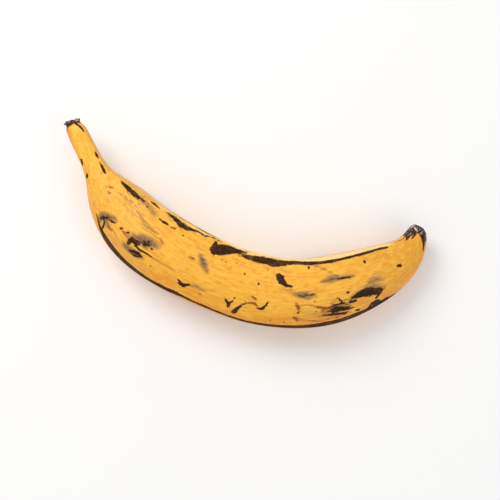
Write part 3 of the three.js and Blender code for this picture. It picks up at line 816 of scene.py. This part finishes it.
def mark_skin(mesh):
    """Writes the marks and the local form as attributes that the peel's colour reads."""
    along, around = skin_places(mesh)
    strokes = [(kind, mark[1:]) for kind, marks in MARK_KINDS.items() for mark in marks]
    strokes += [("line", (soft, strength, ridge_stroke(ridge, points)))
                for ridge, soft, strength, points in RIDGE_LINES]
    fields = {kind: np.zeros(len(along)) for kind in MARK_KINDS}
    for kind, stroke in strokes:
        fields[kind] = np.maximum(fields[kind], stroke_field(along, around, *stroke))
    half = smooth("half", along)
    past_end = np.maximum(0, -along) + np.maximum(0, along - LENGTH)
    fields["half"] = np.maximum(half - past_end, LEAST_HALF)
    gaps = [wrapped(around - ridge - smooth("twist", along)) for ridge in ridge_angles()]
    edges = [np.exp(-((gap * np.radians(1) * half / RIDGE_EDGE_WIDTH) ** 2)) for gap in gaps]
    edges[FRONT_RIDGE] *= smooth("crease", along)
    fields["edge"] = np.max(edges, axis=0)
    hollow_face = smoothstep(gaps[0], *HOLLOW_BEGINS) * (1 - smoothstep(gaps[0], *HOLLOW_ENDS))
    # The hollow side's pale band is partly painted sheen and partly scuffed skin
    pale = hollow_face * smoothstep(along, *PALE_SHEEN_BEGINS) * (1 - smoothstep(along, *PALE_SHEEN_ENDS))
    fields["pale"] = np.maximum(fields["pale"], pale)
    # Painted shade on the hollow side beside the stem
    fields["deep"] = hollow_face * (1 - smoothstep(along, *STEM_SHADE_ENDS))
    fields["past_tip_border"] = along - np.interp(around, *zip(*TIP_BORDER))
    fields["past_collar"] = along - np.interp(around, *zip(*COLLAR_BORDER))
    for name, values in fields.items():
        add_attribute(mesh, name, values)


# The peel's material: its colours, and lengths along the fruit between which one
# part of the colour rises or falls

PEEL_LIGHT = (0.930, 0.520, 0.058, 1)
PEEL_MAIN = (0.890, 0.437, 0.041, 1)
# The next colour is random deeper tone and also painted shade low on the outer side
PEEL_DEEP = (0.800, 0.285, 0.012, 1)
# The next colour is the riper tone towards the tip and also painted shade beside the stem
PEEL_RIPE = (0.720, 0.300, 0.022, 1)
# The next colour is partly painted sheen and partly scuffed skin
PEEL_PALE_SHEEN = (0.980, 0.680, 0.270, 1)
OLIVE = (0.600, 0.360, 0.058, 1)
GREY = (0.28, 0.135, 0.060, 1)
BROWN = (0.36, 0.155, 0.030, 1)
BRUISE = (0.13, 0.050, 0.026, 1)
RUST = (0.22, 0.042, 0.010, 1)
ORANGE = (0.52, 0.165, 0.012, 1)
CHARCOAL = (0.040, 0.020, 0.009, 1)
ASH = (0.050, 0.024, 0.010, 1)
LINE_BROWN = (0.016, 0.005, 0.001, 1)
CAP_BLACK = (0.020, 0.009, 0.004, 1)
CAP_BROWN = (0.130, 0.078, 0.060, 1)
# The next two colours are painted highlights on the dry tip's wrinkles
CAP_GREY_HIGHLIGHT = (0.50, 0.42, 0.36, 1)
CAP_HIGHLIGHT = (0.72, 0.60, 0.50, 1)
# The next colour is painted highlight patches on the cut face
CUT_HIGHLIGHT = (0.58, 0.47, 0.32, 1)
CUT_BROWN = (0.036, 0.014, 0.007, 1)
STEM_TO_BODY = (28, 54)
BODY_TO_TIP = (225, 295)
EDGES_BEGIN = (40, 75)
CRATER_BEGINS, CRATER_ENDS = (302.5, 304.5), (308.0, 309.0)
CUT_FACE_ENDS = (1.2, 2.4)
CUT_RIM = (0.2, 0.7)

# The peel's shine, its coat of wax and its fine relief

SHEEN = 0.1
WAX = 0.4
WAX_ROUGHNESS = 0.45
ROUGHNESS = 0.46
RELIEF = 0.7

# Specks: the share of the radius that each has at least, and how far an edge fades

SMALLEST_SPECK = 0.35
SPECK_EDGE = 0.12


class Skin:
    """The colour so far, and the places and noises that all its layers share."""

    def __init__(self, tree):
        self.tree = tree
        self.colour = PEEL_MAIN
        uv = tree.node("ShaderNodeUVMap", {"uv_map": "skin"}, {}, "UV")
        angle = uv.part("X") * math.tau + math.pi
        half = self.read("half")
        self.along = uv.part("Y") * (LENGTH + 2 * MARGIN) - MARGIN
        self.place = tree.vector(angle.one("COSINE") * half, angle.one("SINE") * half, self.along)
        self.outward = -angle.one("SINE")
        self.broad = self.noise(0.45, 26.0)
        self.mottle = self.noise(0.6, 2.6, 3.0, 0.65)
        self.patchy = self.noise(0.4, 7.0, 3.0)
        self.fibre = self.noise(0.06, 0.9, 3.0, 0.6)
        self.streak = self.noise(0.2, 1.5, 4.0, 0.7)
        self.ragged = self.noise(0.5, 1.5, 5.0, 0.75)
        self.grain = self.noise(1.0, 0.5, 3.0, 0.6)

    def squeezed(self, squeeze, shift=(0.0, 0.0, 0.0)):
        """The skin's places, pressed together along the fruit so that a pattern is drawn out."""
        return self.place * (1.0, 1.0, squeeze) + shift

    def noise(self, squeeze, size, detail=2.0, rough=0.5):
        return self.tree.noise(self.squeezed(squeeze), size, detail, rough)

    def read(self, name):
        """One of the values that mark_skin wrote."""
        return self.tree.node("ShaderNodeAttribute", {"attribute_name": name}, {}, "Fac")

    def lay(self, mask, colour):
        """Lays a colour over the colour so far."""
        self.colour = self.tree.mix(mask, self.colour, colour)

    def specks(self, place, cell, share, radius):
        """Round specks: one in some of the cells of a jittered grid."""
        cells = {"Vector": place, "Scale": 1.0 / cell, "Randomness": 1.0}
        distance = self.tree.node("ShaderNodeTexVoronoi", {}, cells, "Distance") * cell
        chance = self.tree.node("ShaderNodeTexVoronoi", {}, cells, "Color")
        size = chance.part("Y") * radius + radius * SMALLEST_SPECK
        present = chance.part("X").rise(1 - share - 0.01, 1 - share + 0.01)
        return (size - distance).rise(-SPECK_EDGE, SPECK_EDGE) * present

    def dots(self):
        """How deep each place lies in the nearest of the larger dots."""
        deepest = None
        for at, around, radius in DOTS:
            half, turn = half_at(at), math.radians(around)
            centre = (half * math.cos(turn), half * math.sin(turn), float(at))
            depth = radius - self.tree.node("ShaderNodeVectorMath", {"operation": "DISTANCE"},
                                            {0: self.place, 1: centre}, "Value")
            deepest = depth if deepest is None else deepest.at_least(depth)
        return deepest


def yellow_layers(skin):
    """Yellow, lighter on the stem; pale on the hollow side, partly painted sheen and partly scuffing;
    painted shade makes it deeper orange low on the outer side and on the hollow side by the stem.
    """
    lightness = 0.75 - skin.along.rise(*STEM_TO_BODY) * 0.60 + skin.broad * 1.1 + skin.patchy * 0.9
    skin.lay(lightness.rise(0, 1), PEEL_LIGHT)
    # Painted shade: deeper orange towards the outer side, mixed with random patches of deeper tone
    depth = skin.outward.rise(0.35, 1.0) * 0.75 + skin.broad + skin.patchy * 1.6
    skin.lay(depth.rise(0.05, 1.1), PEEL_DEEP)
    ripe = skin.along.rise(*BODY_TO_TIP) * 0.6 + skin.streak * 0.6 + skin.patchy
    skin.lay(ripe.rise(0.0, 1.0), PEEL_RIPE)
    # Painted shade: deeper yellow on the hollow side beside the stem
    skin.lay(skin.read("deep") * (skin.fibre + 0.75), PEEL_RIPE)
    darker = skin.fibre * 0.9 + skin.mottle * 0.8 + skin.streak * 0.8
    skin.lay(darker.rise(-0.06, 0.30) * 0.85, PEEL_DEEP)
    skin.lay((-darker).rise(-0.04, 0.28) * 0.8, PEEL_LIGHT)
    skin.lay((skin.streak + skin.mottle).rise(0.10, 0.30) * 0.6, OLIVE)
    # Partly painted sheen, partly scuffing: paler on the hollow side and along the upper ridge
    skin.lay(skin.read("pale") * (skin.fibre + 0.85), PEEL_PALE_SHEEN)


def bruise_layers(skin):
    """Olive and grey bruises, brown smears and rusty flecks."""
    olive = skin.read("olive") * (skin.streak + 0.8)
    skin.lay(olive.rise(0.1, 0.9) * 0.75, OLIVE)
    rust = skin.read("rust")
    skin.lay(rust.rise(0.10, 0.6) * 0.65, ORANGE)
    brown = skin.read("brown")
    brown = (brown + (skin.fibre * 2.4 + skin.streak * 1.2) * brown.rise(0.02, 0.3)).rise(0.25, 0.95)
    skin.lay(brown * 0.75, BROWN)
    grey = skin.read("grey")
    veil = (grey + (skin.streak + skin.ragged * 0.7) * grey.rise(0.02, 0.3)).rise(0.10, 0.9)
    skin.lay(veil * 0.85, GREY)
    mottle = (grey * 0.9 + skin.ragged * 2.6 + skin.grain).rise(0.70, 1.15) * grey.rise(0.45, 0.9)
    skin.lay(mottle * 0.85, CHARCOAL)
    worn_rust = (rust + (skin.ragged * 2.4 + skin.streak) * rust.rise(0.02, 0.3)).rise(0.48, 0.72)
    skin.lay(worn_rust * 0.85, RUST)
    rust_dots = skin.specks(skin.squeezed(0.8, (3.0, 1.0, 2.0)), cell=2.0, share=0.6, radius=0.45)
    skin.lay(rust_dots * rust.rise(0.08, 0.5) * 0.9, RUST)
    flecks = skin.specks(skin.squeezed(0.6), cell=3.4, share=0.12, radius=0.22)
    skin.lay(flecks * 0.7, RUST)
    pricks = skin.specks(skin.squeezed(0.9, (7.0, 3.0, 5.0)), cell=9.0, share=0.20, radius=0.32)
    skin.lay(pricks * 0.85, BRUISE)


def black_layers(skin):
    """The black marks and lines, worn and streaky, with a bruised border."""
    edge = skin.read("edge") * (skin.patchy + 0.08).rise(0.0, 0.2) * skin.along.rise(*EDGES_BEGIN)
    skin.lay(edge * 0.4, BROWN)
    dots = skin.dots()
    skin.lay((dots + 0.7).rise(0.0, 0.7) * 0.4, ORANGE)
    dot_mask = (dots + skin.ragged * 0.7).rise(-SPECK_EDGE, SPECK_EDGE)
    field = skin.read("black")
    present = field.rise(0.02, 0.2)
    wander = skin.ragged * 1.3 + skin.streak * 1.1
    border = (field + wander).rise(0.18, 0.62) * present
    skin.lay(border * 0.7, BRUISE)
    black = (field + wander).rise(0.42, 0.62) * present
    gaps = (skin.streak * 1.3 + skin.grain * 0.8).rise(0.08, 0.26) * (1 - field.rise(0.75, 1.1) * 0.4)
    middle = field.rise(0.62, 0.95) * (skin.mottle + skin.streak).rise(-0.12, 0.22)
    charcoal = skin.tree.mix(middle, LINE_BROWN, ASH)
    charcoal = skin.tree.mix((skin.ragged + skin.grain).rise(0.05, 0.25) * 0.8, charcoal, BRUISE)
    skin.lay((black * (1 - gaps * 0.55)).at_least(dot_mask) * 0.97, charcoal)
    line_field = skin.read("line")
    line = (line_field + skin.ragged * 1.1 + skin.streak * 0.5).rise(0.38, 0.56)
    line = line * line_field.rise(0.05, 0.2)
    inside = line_field.rise(0.7, 1.0) * (skin.streak + skin.mottle).rise(-0.05, 0.2)
    line_colour = skin.tree.mix(inside * 0.8, LINE_BROWN, BRUISE)
    skin.lay(line * 0.97, line_colour)
    return black.at_least(line), dot_mask


def end_layers(skin):
    """The dry black tip with painted highlights on its wrinkles, and the dried collar with painted
    highlight patches on its cut face.
    """
    tip = (skin.read("past_tip_border") + skin.ragged * 4.0 + skin.streak * 3.0).rise(-0.3, 0.5)
    skin.lay(tip * 0.97, CAP_BLACK)
    lengthwise = skin.noise(0.18, 0.8, 3.0, 0.6)
    skin.lay(lengthwise.rise(-0.10, 0.12) * tip * 0.85, CAP_BROWN)
    crater = skin.along.rise(*CRATER_BEGINS) * (1 - skin.along.rise(*CRATER_ENDS))
    # Painted highlights: grey patches in the tip's crater
    pale = (lengthwise + skin.ragged).rise(0.04, 0.20) * crater
    skin.lay(pale * tip * 0.85, CAP_GREY_HIGHLIGHT)
    # Painted highlights along the tip's folds
    wrinkle_highlight = (skin.read("wrinkle_highlight") + skin.ragged * 0.8).rise(0.42, 0.7)
    skin.lay(wrinkle_highlight * tip * 0.9, CAP_HIGHLIGHT)
    collar = 1 - (skin.read("past_collar") + skin.ragged * 2.4 + skin.streak * 1.6).rise(-0.4, 0.4)
    skin.lay(collar * 0.96, CUT_BROWN)
    # Painted highlights: cream patches on the cut face
    cut_highlight = (skin.tree.noise(skin.place + (11.0, 4.0, 2.0), 2.0, 3.0) + skin.grain * 0.3).rise(0.02, 0.09)
    skin.lay(cut_highlight * collar * (1 - skin.along.rise(*CUT_FACE_ENDS)) * 0.85, CUT_HIGHLIGHT)
    rim = (1 - skin.along.one("ABSOLUTE").rise(*CUT_RIM)) * (skin.ragged + 0.5).rise(0.3, 0.5)
    skin.lay(rim * collar * 0.7, CAP_BLACK)
    return tip.at_least(collar)


def peel_material():
    material = bpy.data.materials.new("plantain peel")
    material.use_nodes = True
    material.node_tree.nodes.clear()
    tree = Tree(material.node_tree)
    skin = Skin(tree)
    yellow_layers(skin)
    bruise_layers(skin)
    black, dots = black_layers(skin)
    dry = end_layers(skin)
    dark = black.at_least(dry)
    height = (skin.fibre * 0.10 + skin.grain * 0.06 + skin.streak * dark * 0.5 + skin.ragged * dry * 0.5
              - dots * 0.05)
    bump = {"Strength": RELIEF, "Distance": MM, "Height": height}
    shader = tree.node("ShaderNodeBsdfPrincipled", {}, {
        "Base Color": skin.colour,
        "Roughness": skin.patchy * 0.12 + dark * 0.20 + ROUGHNESS,
        "Normal": tree.node("ShaderNodeBump", {}, bump, "Normal"),
        "Specular IOR Level": SHEEN,
        "Coat Weight": (1 - dark) * WAX,
        "Coat Roughness": WAX_ROUGHNESS,
    }, "BSDF")
    tree.node("ShaderNodeOutputMaterial", {}, {"Surface": shader})
    return material


# The camera, the floor and the light. STEM_TO_MIDDLE runs in plan from the stem's end
# to the middle of the picture. The floor and the lights are in metres: each light has
# its name, place, size, power in watts and colour.

CAMERA_AZIMUTH = 17
CAMERA_ELEVATION = 84
CAMERA_LENS = 85
SENSOR = 36
MM_PER_PIXEL = 0.68
IMAGE_SIZE = 500
STEM_TO_MIDDLE = (142.74, -49.18)
MIDDLE_HEIGHT = 24
FLOOR_REACH = 3.0
FLOOR_COLOUR = (0.9, 0.9, 0.9, 1)
FLOOR_ROUGHNESS = 0.8
SKY_STRENGTH = 0.72
LIGHTS = (
    ("key", (-0.75, 0.45, 1.0), 0.7, 8, (1, 0.98, 0.95)),
    ("fill", (0.9, -0.5, 0.9), 1.0, 2.5, (0.96, 0.98, 1)),
)


def add_camera():
    azimuth, elevation = math.radians(CAMERA_AZIMUTH), math.radians(CAMERA_ELEVATION)
    right = Vector((math.cos(azimuth), math.sin(azimuth), 0))
    back = Vector((math.sin(azimuth) * math.cos(elevation), -math.cos(azimuth) * math.cos(elevation),
                   math.sin(elevation)))
    middle = Vector((STEM_END[0] + STEM_TO_MIDDLE[0], STEM_END[1] + STEM_TO_MIDDLE[1], MIDDLE_HEIGHT))
    distance = MM_PER_PIXEL * IMAGE_SIZE * CAMERA_LENS / SENSOR
    data = bpy.data.cameras.new("camera")
    data.lens = CAMERA_LENS
    data.sensor_width = SENSOR
    camera = bpy.data.objects.new("camera", data)
    scene.collection.objects.link(camera)
    turn = Matrix((right, back.cross(right), back)).transposed().to_4x4()
    camera.matrix_world = Matrix.Translation((middle + back * distance) * MM) @ turn
    scene.camera = camera


def add_floor():
    mesh = bpy.data.meshes.new("floor")
    corners = [(x * FLOOR_REACH, y * FLOOR_REACH, 0) for x, y in ((-1, -1), (1, -1), (1, 1), (-1, 1))]
    mesh.from_pydata(corners, [], [(0, 1, 2, 3)])
    material = bpy.data.materials.new("pale floor")
    material.use_nodes = True
    shader = material.node_tree.nodes["Principled BSDF"]
    shader.inputs["Base Color"].default_value = FLOOR_COLOUR
    shader.inputs["Roughness"].default_value = FLOOR_ROUGHNESS
    mesh.materials.append(material)
    floor = bpy.data.objects.new("floor", mesh)
    scene.collection.objects.link(floor)


def add_light(name, place, size, power, colour):
    """An area light that faces the fruit."""
    data = bpy.data.lights.new(name, "AREA")
    data.energy = power
    data.size = size
    data.color = colour
    light = bpy.data.objects.new(name, data)
    light.location = place
    light.rotation_euler = Vector(place).to_track_quat("Z", "Y").to_euler()
    scene.collection.objects.link(light)


def add_sky():
    world = bpy.data.worlds.new("studio")
    world.use_nodes = True
    background = world.node_tree.nodes["Background"]
    background.inputs["Color"].default_value = (1, 1, 1, 1)
    background.inputs["Strength"].default_value = SKY_STRENGTH
    scene.world = world
    scene.view_settings.view_transform = "Standard"


add_camera()
add_floor()
add_sky()
for row in LIGHTS:
    add_light(*row)
plantain = grown_skin(peel_material())
mark_skin(plantain.data)
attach(plantain, "root")
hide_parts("plantain")
